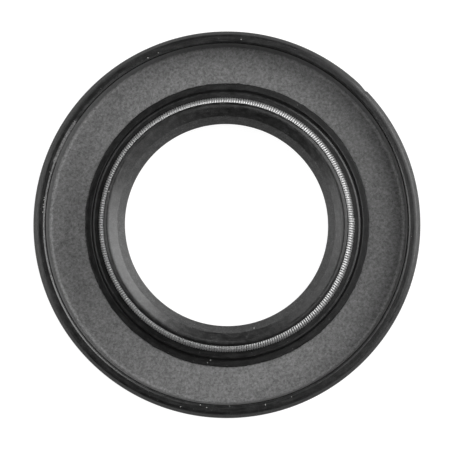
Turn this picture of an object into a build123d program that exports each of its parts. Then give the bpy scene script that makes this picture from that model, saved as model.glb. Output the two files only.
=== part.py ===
"""Radial shaft seal, 30 x 55 x 7: a rubber-covered steel case, a moulded sealing lip and its garter spring.

The seal lies on its back face. The axis is Z, z = 0 is the back face, and the spring side looks up.
Every section is drawn as radius and height on the XZ plane and turned once round the axis.
"""

from build123d import *
from math import radians, sqrt, tan
import os

# Catalogue sizes
shaft_d = 30.0  # shaft that the lip runs on
housing_d = 55.0  # housing bore that the jacket is pressed into
width = 7.0  # over the back face and the rim

# Stamped steel case: a flange at the back and a wall under the jacket
steel_t = 0.8
bend_r = 0.6  # inside of the bend between flange and wall
jacket_t = 0.9  # rubber outside the wall
back_t = 0.75  # rubber under the flange
rim_cover = 0.9  # rubber over the wall's free edge

# Jacket edges
rim_step = 0.1  # width of the step over the wall's inner edge
rim_step_depth = 0.35
rim_bevel = 0.2  # width of the bevel between the step and the flat
rim_bevel_height = 0.15
rim_flat = 0.8  # flat top of the rim, from the bevel outwards
rim_brow = 0.6  # rounding between the flat and the slope outside it
rim_chamfer = 0.7  # height of that slope
lead_in = 1.1  # height of the slope at the back edge
lead_in_depth = 0.45
jacket_round = 0.3

# Garter spring, close wound, with its ends screwed into each other
coil_od = 1.65
wire_d = 0.34
spring_gap = 0.03  # between the coil and its groove

# Sealing lip, from the edge outwards
lip_tightness = 0.96  # the free lip is this much smaller than the shaft
edge_height = 2.55  # sealing edge above the flange
edge_land = 0.2
trim_width = 1.02  # band cut by the trimming knife
trim_angle = 41.5  # that band, from the axis
lip_wall = 2.12  # rubber between the edge and the spring groove
spring_set_back = 0.35  # the spring sits nearer to the back than the edge does
nose_height = 2.0  # top of the spring-retaining nose above the edge
nose_reach = 0.02  # the nose stops this much inside the spring's centre line
nose_top = 0.75
nose_round = 0.5  # its crest is round

# Air side of the lip and the flexible neck that joins it to the case
air_width = 0.8
air_angle = 25.0  # from the axis
air_round = 0.2
ledge_width = 1.73  # from the spring's centre line to the lip's outer corner
ledge_bevel = 0.24  # the ledge's outer corner is bevelled
ledge_bevel_height = 0.11
ledge_round = 0.06
ledge_rake = 0.3  # the neck's outer wall leans out by this much
neck_t = 1.78
membrane_t = 0.9  # rubber under the spring groove
cavity_height = 0.42  # deepest end of the hollow between the two lips

# Rubber foot on the flange
edge_wrap = 0.07  # rubber inside the flange's bore, at the valley
foot_lap = 0.9
foot_t = 0.35
valley_round = 0.3
foot_round = 0.12

# Dust lip at the back face
dust_tightness = 0.15  # the dust lip's radius is this much smaller than the shaft's
dust_tip_t = 0.3
dust_tip_height = 0.25
dust_base = 1.75  # radial width of its sloping underside
dust_bevel = 0.1

# Radii and heights that follow
outer_r = housing_d / 2
wall_out_r = outer_r - jacket_t
wall_in_r = wall_out_r - steel_t
wall_top = width - rim_cover
rim_in_r = wall_in_r + rim_step
flange_top = back_t + steel_t
lip_r = (shaft_d - lip_tightness) / 2
edge_z = flange_top + edge_height
groove_r = coil_od / 2 + spring_gap
spring_r = lip_r + lip_wall + groove_r
spring_z = edge_z - spring_set_back
ledge_z = spring_z - groove_r
ledge_r = spring_r + ledge_width
valley_r = ledge_r + ledge_rake
flange_in_r = valley_r + edge_wrap
foot_r = flange_in_r + foot_lap
foot_top = flange_top + foot_t
edge_low = edge_z - edge_land / 2
edge_high = edge_z + edge_land / 2
trim_r = lip_r + trim_width
trim_z = edge_high + trim_width / tan(radians(trim_angle))
nose_r = spring_r - nose_reach
nose_z = edge_z + nose_height
mouth_z = spring_z + sqrt(groove_r**2 - nose_reach**2)
air_z = edge_low - air_width / tan(radians(air_angle))
neck_in_r = valley_r - neck_t
cavity_top = ledge_z - membrane_t
cavity_round = cavity_height * 0.45
dust_r = shaft_d / 2 - dust_tightness

os.makedirs("parts", exist_ok=True)

# Steel case: one pressed cup with a round hole, drawn as an L with a bend of even thickness
with BuildSketch(Plane.XZ) as case_section:
    with BuildLine():
        FilletPolyline(
            (flange_in_r, back_t),
            (wall_out_r, back_t),
            (wall_out_r, wall_top),
            (wall_in_r, wall_top),
            (wall_in_r, flange_top),
            (flange_in_r, flange_top),
            radius=[0, bend_r + steel_t, 0, 0, bend_r, 0],
            close=True,
        )
    make_face()

with BuildPart() as steel_case:
    add(case_section.sketch)
    revolve(axis=Axis.Z)
steel_case.part.label = "steel_case"
export_step(steel_case.part, "parts/steel_case.step")

# Rubber body: its outline runs through the middle of the steel, and the case's section is then cut away,
# so rubber and steel share their faces. Each row is a corner's radius, its height and its rounding.
wall_mid_r = wall_in_r + steel_t / 2
flange_mid = back_t + steel_t / 2
groove_bottom = (spring_r, ledge_z)
groove_inside = (spring_r - groove_r, spring_z)
groove_mouth = (nose_r, mouth_z)
corners = [
    (ledge_r - ledge_bevel, ledge_z, 0),
    (ledge_r, ledge_z - ledge_bevel_height, ledge_round),
    (valley_r, foot_top, valley_round),
    (foot_r, foot_top, foot_round),
    (foot_r, flange_mid, 0),
    (wall_mid_r, flange_mid, bend_r + steel_t / 2),
    (wall_mid_r, wall_top - steel_t / 2, 0),
    (wall_in_r, wall_top, 0),
    (wall_in_r, width - rim_step_depth, 0),
    (rim_in_r, width - rim_step_depth, 0),
    (rim_in_r, width - rim_bevel_height, 0),
    (rim_in_r + rim_bevel, width, 0),
    (rim_in_r + rim_bevel + rim_flat, width, rim_brow),
    (outer_r, width - rim_chamfer, jacket_round),
    (outer_r, lead_in, 0),
    (outer_r - lead_in_depth, 0, 0),
    (dust_r + dust_base, 0, 0),
    (dust_r, dust_tip_height, 0),
    (dust_r + dust_bevel, dust_tip_height + dust_tip_t, 0),
    (neck_in_r, cavity_top - cavity_height, cavity_round),
    (neck_in_r, cavity_top, cavity_round),
    (lip_r + air_width, air_z, air_round),
    (lip_r, edge_low, 0),
    (lip_r, edge_high, 0),
    (trim_r, trim_z, 0),
    (nose_r - nose_top, nose_z, nose_round),
    (nose_r, nose_z, nose_round),
]

with BuildPart() as rubber_body:
    with BuildSketch(Plane.XZ):
        with BuildLine():
            FilletPolyline(
                groove_bottom,
                *[(r, z) for r, z, rounding in corners],
                groove_mouth,
                radius=[rounding for r, z, rounding in corners],
            )
            ThreePointArc(groove_mouth, groove_inside, groove_bottom)
        make_face()
        add(case_section.sketch_local, mode=Mode.SUBTRACT)
    revolve(axis=Axis.Z)
rubber_body.part.label = "rubber_body"
export_step(rubber_body.part, "parts/rubber_body.step")

# Garter spring: the tube that its close turns of wire make
with BuildPart() as garter_spring:
    with BuildSketch(Plane.XZ):
        with Locations((spring_r, spring_z)):
            Circle(coil_od / 2)
            Circle(coil_od / 2 - wire_d, mode=Mode.SUBTRACT)
    revolve(axis=Axis.Z)
garter_spring.part.label = "garter_spring"
export_step(garter_spring.part, "parts/garter_spring.step")
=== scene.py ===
# Radial shaft seal, 30 x 55 x 7, lying on its back face with the spring side up.
# The file follows the seal as it is made: the stamped case, the rubber moulded round it and the flash that
# the mould leaves, the garter spring rolled into its groove, and the crumbs and dust that stick to it.
import math

import bpy
import numpy as np
from mathutils import Matrix, Vector, noise


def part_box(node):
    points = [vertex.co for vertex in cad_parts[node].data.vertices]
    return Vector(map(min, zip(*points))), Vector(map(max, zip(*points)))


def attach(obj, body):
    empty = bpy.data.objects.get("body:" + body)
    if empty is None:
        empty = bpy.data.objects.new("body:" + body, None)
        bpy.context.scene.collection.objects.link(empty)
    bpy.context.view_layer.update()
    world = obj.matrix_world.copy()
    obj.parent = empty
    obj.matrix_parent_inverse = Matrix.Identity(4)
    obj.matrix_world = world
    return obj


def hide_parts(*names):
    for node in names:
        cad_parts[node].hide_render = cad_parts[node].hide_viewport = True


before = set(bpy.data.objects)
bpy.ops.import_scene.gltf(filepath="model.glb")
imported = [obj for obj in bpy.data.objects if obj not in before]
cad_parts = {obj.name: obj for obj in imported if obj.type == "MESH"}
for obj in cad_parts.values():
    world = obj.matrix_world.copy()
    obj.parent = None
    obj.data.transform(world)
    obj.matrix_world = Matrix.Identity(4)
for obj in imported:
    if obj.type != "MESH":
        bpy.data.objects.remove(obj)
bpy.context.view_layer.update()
MM = 0.001


# Steel case: one ring pressed from 0.8 mm sheet, a flat flange and a short wall with a bend between them.
# It is coated with gray zinc phosphate, which the rubber bonds to, and it stays bare on the inside.
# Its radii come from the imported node, so the ring lies exactly where the solid is.
def inner_radius(node):
    """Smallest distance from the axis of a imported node's points."""
    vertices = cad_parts[node].data.vertices
    points = np.empty(3 * len(vertices))
    vertices.foreach_get("co", points)
    return float(np.hypot(*points.reshape(-1, 3)[:, :2].T).min())


SMALL_ARC = 0.1 * MM
SMALL_ARC_STEP = math.radians(40)
ARC_STEP = math.radians(15)
GUARD_SHARE = 0.25
GUARD_MOST = 0.05 * MM


def rounded(corners):
    """Turns corners of (radius, height, rounding) into an outline, with an arc at each rounded corner.

    A guard point just outside each end of an arc keeps the smooth shading off the straight runs.
    """
    outline = []
    for i, (r, z, rounding) in enumerate(corners):
        here = Vector((r, z))
        if rounding == 0:
            outline.append(here)
            continue
        back = (Vector(corners[i - 1][:2]) - here).normalized()
        ahead = (Vector(corners[(i + 1) % len(corners)][:2]) - here).normalized()
        half = back.angle(ahead) / 2
        reach = rounding / math.tan(half)
        guard = min(GUARD_SHARE * rounding, GUARD_MOST)
        centre = here + (back + ahead).normalized() * rounding / math.sin(half)
        start = here + back * reach - centre
        turn = start.angle_signed(here + ahead * reach - centre)
        steps = max(2, round(abs(turn) / (SMALL_ARC_STEP if rounding < SMALL_ARC else ARC_STEP)))
        outline.append(here + back * (reach + guard))
        for k in range(steps + 1):
            a = -turn * k / steps
            cos, sin = math.cos(a), math.sin(a)
            outline.append(centre + Vector((start.x * cos - start.y * sin, start.x * sin + start.y * cos)))
        outline.append(here + ahead * (reach + guard))
    return np.array([tuple(p) for p in outline])


SHARP_FROM = math.radians(35)


def lathe(name, outline, angles, wear=None):
    """Turns a closed outline of (radius, height) round the axis.

    wear(angle, r, z) gives the radii and heights at that angle and two sideways shifts, all in metres.
    """
    rings = []
    for angle in angles:
        r, z, shift_x, shift_y = outline[:, 0], outline[:, 1], 0, 0
        if wear:
            r, z, shift_x, shift_y = wear(angle, r, z)
        rings.append(np.column_stack((r * math.cos(angle) + shift_x, r * math.sin(angle) + shift_y, z)))
    count, sections = len(outline), len(angles)
    here = np.arange(count)
    ahead = (here + 1) % count
    faces = []
    for i in range(sections):
        a, b = i * count, (i + 1) % sections * count
        faces += np.column_stack((a + here, a + ahead, b + ahead, b + here)).tolist()
    mesh = bpy.data.meshes.new(name)
    mesh.from_pydata(np.vstack(rings).tolist(), [], faces)
    # the outline may run either way round, and the sign of its area says whether the faces look inwards
    area = np.sum(outline[here, 0] * outline[ahead, 1] - outline[ahead, 0] * outline[here, 1])
    if area > 0:
        mesh.flip_normals()
    mesh.shade_smooth()
    mesh.set_sharp_from_angle(angle=SHARP_FROM)
    piece = bpy.data.objects.new(name, mesh)
    bpy.context.scene.collection.objects.link(piece)
    return piece


def set_inputs(tree, made, inputs):
    """Sets a node's inputs to plain values, and links those that are given as another node's output.

    An input goes by its label, with _ for a space, or where labels repeat by its number, as in i0.
    """
    for key, value in inputs.items():
        numbered = key[0] == "i" and key[1:].isdigit()
        socket = made.inputs[int(key[1:])] if numbered else made.inputs[key.replace("_", " ")]
        if isinstance(value, bpy.types.NodeSocket):
            tree.links.new(value, socket)
        else:
            socket.default_value = value


def node_makers(tree):
    """Two functions for a node tree: one adds any node, the other adds a Math node and gives its result."""

    def node(kind, settings=None, **inputs):
        made = tree.nodes.new(kind)
        for key, value in (settings or {}).items():
            setattr(made, key, value)
        set_inputs(tree, made, inputs)
        return made

    def maths(operation, a, b=0.0):
        return node("ShaderNodeMath", {"operation": operation}, i0=a, i1=b).outputs[0]

    return node, maths


def coating(name):
    """A new material, its two node makers, and a function that sets its shader's own inputs."""
    material = bpy.data.materials.new(name)
    material.use_nodes = True
    tree = material.node_tree
    node, maths = node_makers(tree)

    def shade(**inputs):
        set_inputs(tree, tree.nodes["Principled BSDF"], inputs)

    return material, node, maths, shade


def gray(tone):
    return (tone, tone, tone, 1)


def cloud(node, place, size, **settings):
    """A noise pattern whose patches are about the given size across."""
    return node("ShaderNodeTexNoise", Vector=place, Scale=1 / size, **settings).outputs["Fac"]


def toned(node, pattern, span, tones):
    """Turns a span of a pattern's values into a span of tones."""
    low, high = span
    darkest, palest = tones
    ranges = {"From_Min": low, "From_Max": high, "To_Min": darkest, "To_Max": palest}
    return node("ShaderNodeMapRange", Value=pattern, **ranges).outputs[0]


def mixed(node, share, first, second, blend="MIX"):
    settings = {"data_type": "RGBA", "blend_type": blend}
    return node("ShaderNodeMix", settings, i0=share, i6=first, i7=second).outputs[2]


SHEET = 0.8 * MM
BEND_ROUND = 0.6 * MM
SHEET_EDGE = 0.05 * MM
STEPS_ROUND = 600
case_low, case_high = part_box("steel_case")
wall_out_r = case_high[0]
wall_in_r = wall_out_r - SHEET
wall_top = case_high[2]
back_t = case_low[2]
flange_top = back_t + SHEET
flange_in_r = inner_radius("steel_case")
angles = np.linspace(0, 2 * math.pi, STEPS_ROUND, endpoint=False)

case = lathe(
    "case_ring",
    rounded(
        [
            (flange_in_r, back_t, 0),
            (wall_out_r, back_t, BEND_ROUND + SHEET),
            (wall_out_r, wall_top, 0),
            (wall_in_r, wall_top, SHEET_EDGE),
            (wall_in_r, flange_top, BEND_ROUND),
            (flange_in_r, flange_top, 0),
        ]
    ),
    angles,
)

# Phosphate grows as fine crystals, so the coat is a sandy gray with lighter grains and faint stains. From the
# foot of the bend upwards the coat is painted darker: painted shade in the corner and on the wall.
COAT_TONE = 0.22
CRYSTAL_SIZE = 0.34 * MM
CRYSTAL_TONES = (0.42, 1.58)
CRYSTAL_RELIEF = 0.03 * MM
STAIN_SIZE = 2.2 * MM
STAIN_TONES = (0.94, 1.05)
NOISE_SPAN = (0.3, 0.7)
WALL_SHADE_SPAN = (flange_top + 0.05 * BEND_ROUND, flange_top + BEND_ROUND)
WALL_SHADE_TONES = (1.0, 0.55)

phosphate, node, maths, shade = coating("phosphate_coat")
place = node("ShaderNodeTexCoord").outputs["Object"]
height = node("ShaderNodeSeparateXYZ", Vector=place).outputs["Z"]
crystals = cloud(node, place, CRYSTAL_SIZE, Detail=4.0, Roughness=0.75)
stains = cloud(node, place, STAIN_SIZE, Detail=2.0)
grains = toned(node, crystals, NOISE_SPAN, CRYSTAL_TONES)
patches = toned(node, stains, NOISE_SPAN, STAIN_TONES)
# painted shade: the coat darkens from the foot of the bend up to the wall and stays dark above it
wall_shade = toned(node, height, WALL_SHADE_SPAN, WALL_SHADE_TONES)
pattern = maths("MULTIPLY", maths("MULTIPLY", grains, patches), wall_shade)
coat = mixed(node, 1.0, gray(COAT_TONE), pattern, "MULTIPLY")
relief = node("ShaderNodeBump", Height=crystals, Strength=0.35, Distance=CRYSTAL_RELIEF).outputs[0]
shade(Base_Color=coat, Roughness=0.55, Metallic=0.15, Normal=relief)
case.data.materials.append(phosphate)

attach(case, "root")
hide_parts("steel_case")


# Rubber body: one moulding in black nitrile rubber, bonded round the case. From outside in it is the jacket,
# the rim over the wall's edge, the foot on the flange, the neck, the sealing lip and, below it, the dust lip.
# The lip's inner cone is cut with a knife after moulding, which leaves a matt band up to the sealing edge.
rubber_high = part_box("rubber_body")[1]
spring_low, spring_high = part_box("garter_spring")
OVERSIZE = 0.06 * MM
outer_r = rubber_high[0] + OVERSIZE
width = rubber_high[2]
lip_r = inner_radius("rubber_body")
coil_od = spring_high[2] - spring_low[2]
spring_z = (spring_low[2] + spring_high[2]) / 2
spring_r = spring_high[0] - coil_od / 2

RIM_FLAT = 1.1 * MM
RIM_BROW = 0.6 * MM
RIM_CHAMFER = 0.7 * MM
RIM_LIP = 0.05 * MM
RIM_STEP = 0.1 * MM
RIM_STEP_DEPTH = 0.35 * MM
RIM_BEVEL = 0.2 * MM
RIM_BEVEL_DEPTH = 0.15 * MM
FLASH_WIDTH = 0.45 * MM
JACKET_ROUND = 0.3 * MM
LEAD_IN = 1.1 * MM
LEAD_IN_DEPTH = 0.45 * MM
GROOVE_GAP = 0.03 * MM
SPRING_SET_BACK = 0.35 * MM
EDGE_LAND = 0.2 * MM
TRIM_WIDTH = 1.02 * MM
TRIM_ANGLE = math.radians(41.5)
NOSE_HEIGHT = 2.0 * MM
NOSE_REACH = 0.02 * MM
NOSE_TOP = 0.75 * MM
NOSE_ROUND = 0.5 * MM
AIR_ROUND = 0.2 * MM
AIR_WIDTH = 0.8 * MM
AIR_ANGLE = math.radians(25)
LEDGE_WIDTH = 1.73 * MM
LEDGE_BEVEL = 0.24 * MM
LEDGE_FALL = 0.11 * MM
NECK_T = 1.78 * MM
MEMBRANE_T = 0.9 * MM
CAVITY_HEIGHT = 0.42 * MM
CAVITY_ROUND = 0.45 * CAVITY_HEIGHT
EDGE_WRAP = 0.07 * MM
FOOT_LAP = 0.9 * MM
FOOT_T = 0.35 * MM
FOOT_EDGE = 0.12 * MM
VALLEY_ROUND = 0.3 * MM
FOOT_FALL = 0.02 * MM
SHAFT_R = 15.0 * MM
DUST_TIGHTNESS = 0.15 * MM
DUST_TIP_T = 0.3 * MM
DUST_TIP_HEIGHT = 0.25 * MM
DUST_BASE = 1.75 * MM
DUST_BEVEL = 0.1 * MM
SMALL_EDGE = 0.06 * MM
CUT_EDGE = 0.03 * MM

groove_r = coil_od / 2 + GROOVE_GAP
edge_z = spring_z + SPRING_SET_BACK
edge_low, edge_high = edge_z - EDGE_LAND / 2, edge_z + EDGE_LAND / 2
ledge_z = spring_z - groove_r
ledge_r = spring_r + LEDGE_WIDTH
valley_r = flange_in_r - EDGE_WRAP
foot_r = flange_in_r + FOOT_LAP
foot_top = flange_top + FOOT_T
trim_r = lip_r + TRIM_WIDTH
trim_z = edge_high + TRIM_WIDTH / math.tan(TRIM_ANGLE)
nose_r = spring_r - NOSE_REACH
nose_z = edge_z + NOSE_HEIGHT
air_z = edge_low - AIR_WIDTH / math.tan(AIR_ANGLE)
neck_in_r = valley_r - NECK_T
cavity_top = ledge_z - MEMBRANE_T
dust_r = SHAFT_R - DUST_TIGHTNESS
step_r = wall_in_r + RIM_STEP
step_z = width - RIM_STEP_DEPTH

GROOVE_STEPS = 11
mouth = math.acos(-NOSE_REACH / groove_r)
bottom = 1.5 * math.pi
groove = [
    (spring_r + groove_r * math.cos(a), spring_z + groove_r * math.sin(a), 0)
    for a in np.linspace(mouth, bottom, GROOVE_STEPS + 1)
]
body_outline = rounded(
    groove
    + [
        (ledge_r - LEDGE_BEVEL, ledge_z, CUT_EDGE),
        (ledge_r, ledge_z - LEDGE_FALL, SMALL_EDGE),
        (valley_r, foot_top, VALLEY_ROUND),
        (foot_r, foot_top - FOOT_FALL, FOOT_EDGE),
        (foot_r, flange_top, 0),
        (flange_in_r, flange_top, 0),
        (flange_in_r, back_t, 0),
        (wall_out_r, back_t, BEND_ROUND + SHEET),
        (wall_out_r, wall_top, 0),
        (wall_in_r, wall_top, 0),
        (wall_in_r - RIM_LIP, wall_top + RIM_LIP, 0),
        (wall_in_r - RIM_LIP, step_z, CUT_EDGE),
        (step_r, step_z, CUT_EDGE),
        (step_r, width - RIM_BEVEL_DEPTH, SMALL_EDGE),
        (step_r + RIM_BEVEL, width, SMALL_EDGE),
        (wall_in_r + FLASH_WIDTH, width, 0),
        (wall_in_r + RIM_FLAT, width, RIM_BROW),
        (outer_r, width - RIM_CHAMFER, JACKET_ROUND),
        (outer_r, LEAD_IN, JACKET_ROUND),
        (outer_r - LEAD_IN_DEPTH, 0, SMALL_EDGE),
        (dust_r + DUST_BASE, 0, SMALL_EDGE),
        (dust_r, DUST_TIP_HEIGHT, SMALL_EDGE),
        (dust_r + DUST_BEVEL, DUST_TIP_HEIGHT + DUST_TIP_T, SMALL_EDGE),
        (neck_in_r, cavity_top - CAVITY_HEIGHT, CAVITY_ROUND),
        (neck_in_r, cavity_top, CAVITY_ROUND),
        (lip_r + AIR_WIDTH, air_z, AIR_ROUND),
        (lip_r, edge_low, CUT_EDGE),
        (lip_r, edge_high, CUT_EDGE),
        (trim_r, trim_z, CUT_EDGE),
        (nose_r - NOSE_TOP, nose_z, NOSE_ROUND),
        (nose_r, nose_z, NOSE_ROUND),
    ]
)

# What making and handling did to it: rubber crept unevenly over the flange at the foot's edge, the knife
# wandered, the soft lip sits a trifle oval and off centre, the rim tore where the flash starts, and the
# jacket has a nick at its top edge. Waves round the ring are rows of count, seed and weight.
ON_EDGE = 0.01 * MM
NEAR_EDGE = 0.1 * MM
SEED_STEP = 7.3
FOOT_CREEP = 0.06 * MM
FOOT_ZONE = 0.2 * MM
CREEP_WAVES = ((14, 1, 0.9), (70, 7, 0.5))
LOBES, LOBE_SEED, LOBE_LIMIT, LOBE_WEIGHT = 45, 2, 0.1, 2.0
KNIFE_DRIFT = 0.02 * MM
KNIFE_WAVES = ((9, 3, 1.0), (60, 4, 1.0))
KNIFE_SHIFT = (-0.05 * MM, -0.12 * MM)
HEAD_SHIFT = (-0.06 * MM, -0.065 * MM)
NOSE_LEAN = -0.07 * MM
HEAD_OVAL = 0.075 * MM
OVAL_AT = math.radians(-31)
JACKET_SHIFT = (0.01 * MM, -0.09 * MM)
RIM_TOP_SHARE = 0.8
TEAR_FROM, TEAR_TO = math.radians(142.8), math.radians(146.0)
TEAR_DEPTH = 0.2 * MM
TEAR_RUN = 0.3
TEAR_REACH = 0.05 * MM
FLASH_FROM, FLASH_TO = math.radians(146), math.radians(160)
FLASH_FILL = 0.12 * MM
FLASH_ROUGH = 0.03 * MM
FLASH_WAVES_UP = ((120, 5, 1.0),)
FLASH_WAVES_OUT = ((90, 6, 1.0),)
NICK_AT = math.radians(43.6)
NICK_LENGTH = math.radians(2.9)
NICK_DEPTH = 0.14 * MM
rim_top_z = width - RIM_TOP_SHARE * RIM_STEP_DEPTH


def around(angle, waves, seed):
    """Smooth noise, about -1 to 1, that closes on itself round the ring."""
    return noise.noise(Vector((waves * math.cos(angle), waves * math.sin(angle), seed * SEED_STEP)))


def summed(angle, rows):
    return sum(weight * around(angle, waves, seed) for waves, seed, weight in rows)


def fray_edges(angle, r, z):
    """The foot's ragged edge on the flange and the upper edge of the knife's cut."""
    foot = (abs(r - foot_r) < FOOT_ZONE) & (z > flange_top - ON_EDGE) & (z < foot_top + NEAR_EDGE)
    lobe = max(0.0, around(angle, LOBES, LOBE_SEED) - LOBE_LIMIT) * LOBE_WEIGHT
    r[foot] += FOOT_CREEP * (summed(angle, CREEP_WAVES) + lobe)
    knife = (abs(r - trim_r) < NEAR_EDGE) & (z > edge_high)
    r[knife] += KNIFE_DRIFT * summed(angle, KNIFE_WAVES)


def mark_rim(angle, r, z):
    """The tear in the rim's bevel, the flash that fills the step, and the nick in the jacket's top edge."""
    if TEAR_FROM < angle < TEAR_TO:
        bevel = (z > rim_top_z) & (r < step_r + RIM_BEVEL + TEAR_REACH)
        r[bevel] += TEAR_DEPTH * min(1.0, (angle - TEAR_FROM) / (TEAR_RUN * (TEAR_TO - TEAR_FROM)))
    if FLASH_FROM < angle < FLASH_TO:
        step = (z > wall_top + 2 * RIM_LIP) & (r < step_r + ON_EDGE)
        z[step & (z < step_z + FLASH_FILL)] += FLASH_FILL
        z[step] += FLASH_ROUGH * summed(angle, FLASH_WAVES_UP)
        r[step] += FLASH_ROUGH * summed(angle, FLASH_WAVES_OUT)
    along_nick = (angle - NICK_AT) / NICK_LENGTH
    if 0 <= along_nick < 1:
        top_edge = (r > wall_out_r) & (z > width - 2 * RIM_CHAMFER)
        r[top_edge] -= NICK_DEPTH * (1 - along_nick) * (r[top_edge] - wall_out_r) / (outer_r - wall_out_r)


def moulding_wear(angle, r, z):
    """One section of the moulding as made: its radii, its heights and its sideways shifts in X and Y."""
    r, z = r.copy(), z.copy()
    fray_edges(angle, r, z)
    jacket = (r > wall_out_r + ON_EDGE) | (z > rim_top_z) & (r > wall_in_r)
    mark_rim(angle, r, z)
    head = np.clip((z - foot_top) / (ledge_z - foot_top), 0, 1) * (r < ledge_r + NEAR_EDGE)
    edge = (r <= trim_r + NEAR_EDGE) & (z > air_z)
    r += head * HEAD_OVAL * math.cos(2 * (angle - OVAL_AT))
    nose = np.clip((z - spring_z) / (nose_z - spring_z), 0, 1) * ~edge * (r < ledge_r)
    head_x = head * np.where(edge, KNIFE_SHIFT[0], HEAD_SHIFT[0])
    head_y = head * np.where(edge, KNIFE_SHIFT[1], HEAD_SHIFT[1])
    shift_x = head_x + nose * NOSE_LEAN + jacket * JACKET_SHIFT[0]
    shift_y = head_y + jacket * JACKET_SHIFT[1]
    return r, z, shift_x, shift_y


body = lathe("rubber_moulding", body_outline, angles, moulding_wear)

# Moulded rubber is satin black, with the fine grain of the tool, flow marks that run round the ring and a
# thin bloom. The flow marks use the direction from the axis, so their pattern closes without a seam. Each
# finish is a row: its name, darkest and palest tone, roughness, strength of the grain and shine.
GRAIN_SIZE = 0.16 * MM
BLOOM_SIZE = 0.8 * MM
FLOW_SIZE = 1.6 * MM
FLOW_CLOSENESS = 6.0
RUBBER_SPAN = (0.35, 0.65)
BLOOM_SPAN = (0.35, 0.7)
FLOW_TONES = (0.7, 1.3)
GRAIN_TONES = (0.4, 1.6)
SMOOTHER, ROUGHER = 0.06, 0.08
RUBBER_RELIEF = 0.02 * MM
FINISHES = [
    ("moulded_rubber", 0.006, 0.02, 0.34, 0.6, 0.43),
    ("knife_cut_rubber", 0.024, 0.052, 0.5, 0.8, 0.56),
    # a matt finish, darker than the moulded skin: the darker tone is painted shade
    ("torn_and_shaded_rubber", 0.005, 0.008, 0.8, 0.5, 0.3),
    ("polished_rubber", 0.005, 0.034, 0.34, 0.7, 0.73),
    ("flash_rubber", 0.05, 0.17, 0.6, 1.0, 0.5),
]
MOULDED, KNIFE_CUT, TORN_AND_SHADED, POLISHED, FLASH = range(len(FINISHES))


def rubber(name, dark, pale, roughness, bump, shine):
    material, node, maths, shade = coating(name)
    place = node("ShaderNodeTexCoord").outputs["Object"]
    x, y, z = node("ShaderNodeSeparateXYZ", Vector=place).outputs
    flat = node("ShaderNodeCombineXYZ", X=x, Y=y).outputs[0]
    radius = node("ShaderNodeVectorMath", {"operation": "LENGTH"}, i0=flat).outputs["Value"]
    outward = node("ShaderNodeVectorMath", {"operation": "NORMALIZE"}, i0=flat).outputs[0]
    wrapped = node("ShaderNodeVectorMath", {"operation": "SCALE"}, i0=outward, Scale=lip_r).outputs[0]
    across = maths("MULTIPLY", maths("ADD", radius, z), FLOW_CLOSENESS)
    lifted = node("ShaderNodeCombineXYZ", Z=across).outputs[0]
    along = node("ShaderNodeVectorMath", {"operation": "ADD"}, i0=wrapped, i1=lifted).outputs[0]
    grain = cloud(node, place, GRAIN_SIZE, Detail=3.0, Roughness=0.6)
    bloom = cloud(node, place, BLOOM_SIZE, Detail=4.0, Roughness=0.7)
    flow = cloud(node, along, FLOW_SIZE, Detail=4.0, Roughness=0.6)
    film = toned(node, bloom, BLOOM_SPAN, (0.0, 1.0))
    marks = toned(node, flow, RUBBER_SPAN, FLOW_TONES)
    grains = toned(node, grain, RUBBER_SPAN, GRAIN_TONES)
    gloss = toned(node, flow, RUBBER_SPAN, (roughness - SMOOTHER, roughness + ROUGHER))
    tone = mixed(node, film, gray(dark), gray(pale))
    worn = mixed(node, 1.0, tone, maths("MULTIPLY", marks, grains), "MULTIPLY")
    relief = node("ShaderNodeBump", Height=grain, Strength=bump, Distance=RUBBER_RELIEF).outputs[0]
    shade(Base_Color=worn, Roughness=gloss, Normal=relief, Specular_IOR_Level=shine)
    return material


for finish in FINISHES:
    body.data.materials.append(rubber(*finish))

# which stretch of the outline has which finish, by the middle of each of its sides
BEVEL_REACH = 0.6
SHADED_FACE_REACH = 0.8
side_r, side_z = ((body_outline + np.roll(body_outline, -1, axis=0)) / 2).T
cut = (side_r < trim_r) & (side_z > edge_low) & (side_z < trim_z)
shut_off = (abs(side_r - wall_in_r) < SHADED_FACE_REACH * RIM_STEP) & (side_z > wall_top)
cone = (side_r < nose_r - NOSE_TOP / 2) & (side_z > trim_z)
ledge_corner = (side_z > ledge_z - 2 * BEVEL_REACH * LEDGE_FALL) & (side_z < spring_z)
ledge_corner &= abs(side_r - (ledge_r - LEDGE_BEVEL / 2)) < BEVEL_REACH * LEDGE_BEVEL
over_step = (side_r > wall_in_r - 2 * RIM_LIP) & (side_r < wall_in_r + FLASH_WIDTH)
over_step &= side_z > step_z - 2 * ON_EDGE
bevel = over_step & (abs(side_r - (step_r + RIM_BEVEL / 2)) < BEVEL_REACH * RIM_BEVEL)
skin = np.full(len(body_outline), MOULDED, dtype=np.int32)
skin[cut] = KNIFE_CUT
# the cover's inner face above the wall gets the matt finish whose darker tone is painted shade in the step
skin[shut_off] = TORN_AND_SHADED
skin[cone | ledge_corner | bevel] = POLISHED
skin = np.tile(skin, (STEPS_ROUND, 1))

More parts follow.
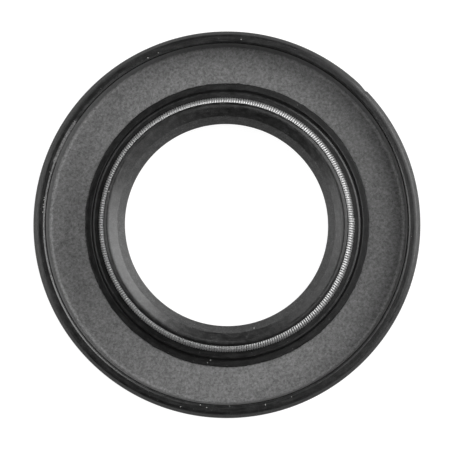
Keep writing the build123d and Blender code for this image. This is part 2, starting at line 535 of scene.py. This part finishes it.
# Flash: rubber that crept past the mould's shut-off at the rim's inner edge. On the upper left it fills the
# step and laps on the flat, and farther down it thins out to a film on the bevel and then to short dashes.
# Before the tear a hair line of it shows along the bevel's upper edge.
HAIR_FROM = math.radians(115)
HAIR_WAVES, HAIR_SEED, HAIR_LIMIT = 90, 9, -0.2
HAIR_SHARE = 0.8
FILM_TO, DASHES_TO = math.radians(177), math.radians(204)
DASH_WAVES, DASH_SEED, DASH_LIMIT = 110, 8, 0.1
hair = over_step & (side_r > step_r + HAIR_SHARE * RIM_BEVEL)
for i, angle in enumerate(angles):
    if HAIR_FROM < angle < TEAR_FROM:
        if around(angle, HAIR_WAVES, HAIR_SEED) > HAIR_LIMIT:
            skin[i, hair] = POLISHED
    elif FLASH_FROM < angle < FLASH_TO:
        skin[i, over_step] = FLASH
    elif FLASH_TO <= angle < FILM_TO:
        skin[i, bevel] = FLASH
    elif FILM_TO <= angle < DASHES_TO:
        if around(angle, DASH_WAVES, DASH_SEED) > DASH_LIMIT:
            skin[i, bevel] = FLASH
body.data.polygons.foreach_set("material_index", skin.ravel())

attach(body, "root")
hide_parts("rubber_body")


# Garter spring: bright drawn wire, close wound into a long coil whose tapered end is screwed into the other.
# It lies in the lip's groove and presses the sealing edge on the shaft. The joint shows on the right,
# where the turns that hold the tapered end are a little wider than the rest.
TURNS = 322
STEPS_PER_TURN = 18
WIRE_SIDES = 8
WIRE_R = 0.17 * MM
JOINT_AT = math.radians(3)
JOINT_LENGTH = math.radians(9)
JOINT_SWELL = 0.07 * MM
STREAK_SIZE = 0.9 * MM
WIRE_TONES = (0.62, 0.72)


def grown(name, inputs):
    """A geometry node tree with named number inputs. Gives the tree, its two node makers and its inputs."""
    tree = bpy.data.node_groups.new(name, "GeometryNodeTree")
    tree.interface.new_socket("Geometry", in_out="INPUT", socket_type="NodeSocketGeometry")
    tree.interface.new_socket("Geometry", in_out="OUTPUT", socket_type="NodeSocketGeometry")
    for key, value in inputs.items():
        kind = "NodeSocketInt" if isinstance(value, int) else "NodeSocketFloat"
        tree.interface.new_socket(key, in_out="INPUT", socket_type=kind)
    node, maths = node_makers(tree)
    return tree, node, maths, tree.nodes.new("NodeGroupInput").outputs


def harvest(host, tree, node, geometry, material, inputs):
    """Ends the tree, runs it on the host with its inputs, and keeps the result as the host's plain mesh."""
    real = node("GeometryNodeRealizeInstances", Geometry=geometry)
    dressed = node("GeometryNodeSetMaterial", Geometry=real.outputs[0], Material=material)
    tree.links.new(dressed.outputs[0], tree.nodes.new("NodeGroupOutput").inputs[0])
    modifier = host.modifiers.new("grow", "NODES")
    modifier.node_group = tree
    for item in tree.interface.items_tree:
        if item.in_out == "INPUT" and item.name in inputs:
            modifier[item.identifier] = inputs[item.name]
    depsgraph = bpy.context.evaluated_depsgraph_get()
    mesh = bpy.data.meshes.new_from_object(host.evaluated_get(depsgraph))
    host.modifiers.clear()
    host.data = mesh
    return host


def new_host(name, mesh=None):
    host = bpy.data.objects.new(name, mesh or bpy.data.meshes.new(name))
    bpy.context.scene.collection.objects.link(host)
    return host


spring_wire, node, _, shade = coating("spring_wire")
place = node("ShaderNodeTexCoord").outputs["Object"]
tone = toned(node, cloud(node, place, STREAK_SIZE, Detail=3.0), NOISE_SPAN, WIRE_TONES)
streaks = node("ShaderNodeCombineColor", Red=tone, Green=tone, Blue=tone).outputs[0]
shade(Base_Color=streaks, Metallic=1.0, Roughness=0.55)

spring_inputs = {
    "Turns": TURNS,
    "Steps per turn": STEPS_PER_TURN,
    "Ring radius": spring_r,
    "Coil radius": coil_od / 2 - WIRE_R,
    "Wire radius": WIRE_R,
    "Height": spring_z,
    "Joint angle": JOINT_AT,
    "Joint length": JOINT_LENGTH,
    "Joint swell": JOINT_SWELL,
    "Shift X": HEAD_SHIFT[0],
    "Shift Y": HEAD_SHIFT[1],
    "Oval": HEAD_OVAL,
    "Oval angle": OVAL_AT,
}
tree, node, maths, given = grown("wind_spring", spring_inputs)

# each point of the wire has an angle round the ring and one round the coil, both from the point's number
step_count = maths("MULTIPLY", given["Turns"], given["Steps per turn"])
index = node("GeometryNodeInputIndex").outputs[0]
round_ring = maths("MULTIPLY", maths("DIVIDE", index, step_count), math.tau)
round_coil = maths("MULTIPLY", maths("DIVIDE", index, given["Steps per turn"]), math.tau)
to_joint = maths("SUBTRACT", given["Joint angle"], round_ring)
past_joint = maths("MODULO", maths("ADD", to_joint, math.tau), math.tau)
near_joint = maths("MAXIMUM", maths("SUBTRACT", 1.0, maths("DIVIDE", past_joint, given["Joint length"])), 0.0)
swell = maths("MULTIPLY", near_joint, given["Joint swell"])
coil = maths("ADD", given["Coil radius"], swell)
twice = maths("MULTIPLY", maths("SUBTRACT", round_ring, given["Oval angle"]), 2.0)
oval = maths("MULTIPLY", given["Oval"], maths("COSINE", twice))
ring = maths("ADD", maths("ADD", given["Ring radius"], swell), oval)
reach = maths("ADD", ring, maths("MULTIPLY", coil, maths("COSINE", round_coil)))
up = maths("ADD", maths("ADD", given["Height"], swell), maths("MULTIPLY", coil, maths("SINE", round_coil)))
point = node(
    "ShaderNodeCombineXYZ",
    X=maths("ADD", given["Shift X"], maths("MULTIPLY", reach, maths("COSINE", round_ring))),
    Y=maths("ADD", given["Shift Y"], maths("MULTIPLY", reach, maths("SINE", round_ring))),
    Z=up,
)
loop = node("GeometryNodeCurvePrimitiveCircle", Resolution=step_count)
line = node("GeometryNodeSetPosition", Geometry=loop.outputs[0], Position=point.outputs[0])
section = node("GeometryNodeCurvePrimitiveCircle", Resolution=WIRE_SIDES, Radius=given["Wire radius"])
wound = node("GeometryNodeCurveToMesh", Curve=line.outputs[0], Profile_Curve=section.outputs[0])
smooth = node("GeometryNodeSetShadeSmooth", Geometry=wound.outputs[0])
spring = harvest(new_host("wire_coil"), tree, node, smooth.outputs[0], spring_wire, spring_inputs)

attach(spring, "root")
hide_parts("garter_spring")


# Crumbs: short ends of flash and bits of trimmed rubber, pale with dust, that stick to the rim, the lip and
# the foot. Each row is X, Y and the height of the surface below it, in millimetres.
CRUMB_R = 0.1 * MM
CRUMB_SEED = 3
CRUMB_COLOUR = (0.45, 0.45, 0.44, 1)
CRUMB_TURNS = (math.tau, math.tau, math.tau)
CRUMB_SIZES = ((0.7, 0.7, 0.4), (1.5, 0.9, 0.7))
BEAD_CIRCLE = 26.17
BEAD_ANGLES = (163.8, 171.9, 172.7, 174.1, 174.9, 176.5)
BROW_DROP, STEP_DROP = 0.1, 0.2
rim_mm, nose_mm, foot_mm, cut_mm = [z / MM for z in (width, nose_z, foot_top, trim_z)]
cone_mm = (trim_z + nose_z) / 2 / MM
brow_mm = rim_mm - BROW_DROP
step_mm = rim_mm - STEP_DROP
beads = [
    (BEAD_CIRCLE * math.cos(math.radians(a)), BEAD_CIRCLE * math.sin(math.radians(a)), rim_mm)
    for a in BEAD_ANGLES
]
crumbs = beads + [
    (2.1, 26.2, rim_mm),
    (6.4, 25.6, step_mm),
    (-6.5, -26.0, rim_mm),
    (0.46, -25.9, rim_mm),
    (5.5, -25.7, rim_mm),
    (-0.88, 17.3, nose_mm),
    (-16.8, 4.56, nose_mm),
    (-3.7, -25.75, rim_mm),
    (-2.8, -26.1, rim_mm),
    (1.9, -26.4, brow_mm),
    (4.7, -26.2, brow_mm),
    (9.2, -24.6, rim_mm),
    (-9.7, 24.3, rim_mm),
    (-11.2, 23.6, rim_mm),
    (10.3, 12.56, cone_mm),
    (3.9, -14.9, cut_mm),
    (-2.4, -19.5, foot_mm),
    (-2.8, -19.9, foot_mm),
]


def scattered(node, given, points, subdivisions, turns, sizes):
    """Puts a round grain on each point, turned and stretched at random within the given turns and sizes."""
    shape = node("GeometryNodeMeshIcoSphere", Radius=given["Size"], Subdivisions=subdivisions)
    kind = {"data_type": "FLOAT_VECTOR"}
    turned = node("FunctionNodeRandomValue", kind, Seed=given["Seed"], Max=turns)
    sized = node("FunctionNodeRandomValue", kind, Seed=given["Seed"], Min=sizes[0], Max=sizes[1])
    grains = {"Instance": shape.outputs[0], "Rotation": turned.outputs[0], "Scale": sized.outputs[0]}
    return node("GeometryNodeInstanceOnPoints", Points=points, **grains).outputs[0]


crumb, _, _, shade = coating("pale_crumb")
shade(Base_Color=CRUMB_COLOUR, Roughness=0.5)
crumb_points = bpy.data.meshes.new("fleck_points")
crumb_points.from_pydata([Vector(row) * MM for row in crumbs], [], [])
crumb_inputs = {"Size": CRUMB_R, "Seed": CRUMB_SEED}
tree, node, _, given = grown("stick_flecks", crumb_inputs)
stuck = scattered(node, given, given["Geometry"], 2, CRUMB_TURNS, CRUMB_SIZES)
flecks = harvest(new_host("flecks", crumb_points), tree, node, stuck, crumb, crumb_inputs)

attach(flecks, "root")


# Dust: fine pale flakes and short lint that have settled on the flange, the rim and the lip. They are strewn
# over the upper faces of the case and the moulding by Geometry Nodes, and each has its own fixed seed.
UPWARD = 0.4
FLAKE_TONE = 0.3
FLAKE_TURNS = (0.3, 0.3, math.tau)
FLAKE_SIZES = ((0.6, 0.5, 0.3), (2.2, 1.1, 0.5))
lint, _, _, shade = coating("dust_flake")
shade(Base_Color=gray(FLAKE_TONE), Roughness=0.9)
for name, source, density, size, seed in (
    ("dust_on_case", case, 0.55 / MM**2, 0.04 * MM, 1),
    ("dust_on_rubber", body, 0.16 / MM**2, 0.035 * MM, 2),
):
    dust_inputs = {"Density": density, "Size": size, "Seed": seed}
    tree, node, _, given = grown("strew_" + name, dust_inputs)
    normal = node("GeometryNodeInputNormal").outputs[0]
    facing = node("ShaderNodeSeparateXYZ", Vector=normal).outputs["Z"]
    test = {"data_type": "FLOAT", "operation": "GREATER_THAN"}
    upward = node("FunctionNodeCompare", test, i0=facing, i1=UPWARD)
    faces = {"Mesh": given["Geometry"], "Selection": upward.outputs[0], "Density": given["Density"]}
    strewn = node("GeometryNodeDistributePointsOnFaces", Seed=given["Seed"], **faces)
    flakes = scattered(node, given, strewn.outputs[0], 1, FLAKE_TURNS, FLAKE_SIZES)
    dust = harvest(new_host(name, source.data.copy()), tree, node, flakes, lint, dust_inputs)
    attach(dust, "root")


# The studio: a plain pale floor, broad softboxes on the right from low to high, weaker ones on the left and
# faint ones behind and in front. The camera looks down on the seal from a little in front of its axis.
# A softbox is a row: name, azimuth and elevation in degrees, width and height in metres, and radiance.
LAMP_DISTANCE = 0.5
SOFTBOXES = [
    ("low_right", 18, 6, 0.62, 0.07, 8.0),
    ("right", 22, 26, 0.62, 0.3, 4.2),
    ("high_right", 20, 62, 0.36, 0.28, 2.6),
    ("left", 180, 17, 0.37, 0.15, 4.2),
    ("high_left", 178, 50, 0.27, 0.16, 3.0),
    ("back_left", 138, 30, 0.28, 0.4, 1.2),
    ("front_right", 315, 34, 0.3, 0.36, 0.6),
]


def softbox(name, azimuth, elevation, size_x, size_y, radiance):
    lamp = bpy.data.lights.new(name, "AREA")
    lamp.shape = "RECTANGLE"
    lamp.size = size_x
    lamp.size_y = size_y
    lamp.energy = radiance * math.pi * size_x * size_y
    box = bpy.data.objects.new(name, lamp)
    a, e = math.radians(azimuth), math.radians(elevation)
    box.location = Vector((math.cos(a) * math.cos(e), math.sin(a) * math.cos(e), math.sin(e))) * LAMP_DISTANCE
    box.rotation_euler = (-box.location).to_track_quat("-Z", "Y").to_euler()
    bpy.context.scene.collection.objects.link(box)


for row in SOFTBOXES:
    softbox(*row)

# the floor is a hair below the back face, so the two don't share a plane
FLOOR_HALF = 1.5
FLOOR_Z = -0.02 * MM
FLOOR_TONE = 0.2
FLOOR_GLOW = 0.95
floor_mesh = bpy.data.meshes.new("floor")
floor_mesh.from_pydata(
    [(x * FLOOR_HALF, y * FLOOR_HALF, FLOOR_Z) for x, y in ((-1, -1), (1, -1), (1, 1), (-1, 1))],
    [],
    [(0, 1, 2, 3)],
)
floor = bpy.data.objects.new("floor", floor_mesh)
bpy.context.scene.collection.objects.link(floor)
paper, _, _, shade = coating("white_paper")
shade(Base_Color=gray(FLOOR_TONE), Roughness=0.9, Emission_Color=gray(1), Emission_Strength=FLOOR_GLOW)
floor_mesh.materials.append(paper)

AIR_GLOW = 0.03
world = bpy.data.worlds.new("studio")
world.use_nodes = True
set_inputs(world.node_tree, world.node_tree.nodes["Background"], {"Color": gray(1), "Strength": AIR_GLOW})
bpy.context.scene.world = world
bpy.context.scene.view_settings.view_transform = "Standard"

SENSOR = 36.0
LENS = 169.22
CLIP_START = 0.01
CAMERA_AT = Vector((5.0, -13.0, 307.0)) * MM
LOOK_AT = Vector((-0.22, -0.22, 6.0)) * MM
lens = bpy.data.cameras.new("camera")
lens.sensor_width = SENSOR
lens.lens = LENS
lens.clip_start = CLIP_START
camera = bpy.data.objects.new("camera", lens)
camera.location = CAMERA_AT
# the top of the picture is +Y, so the camera's axes are built from that and the line of sight
sight = (LOOK_AT - CAMERA_AT).normalized()
side = sight.cross(Vector((0, 1, 0))).normalized()
camera.rotation_euler = Matrix((side, side.cross(sight), -sight)).transposed().to_euler()
bpy.context.scene.collection.objects.link(camera)
bpy.context.scene.camera = camera
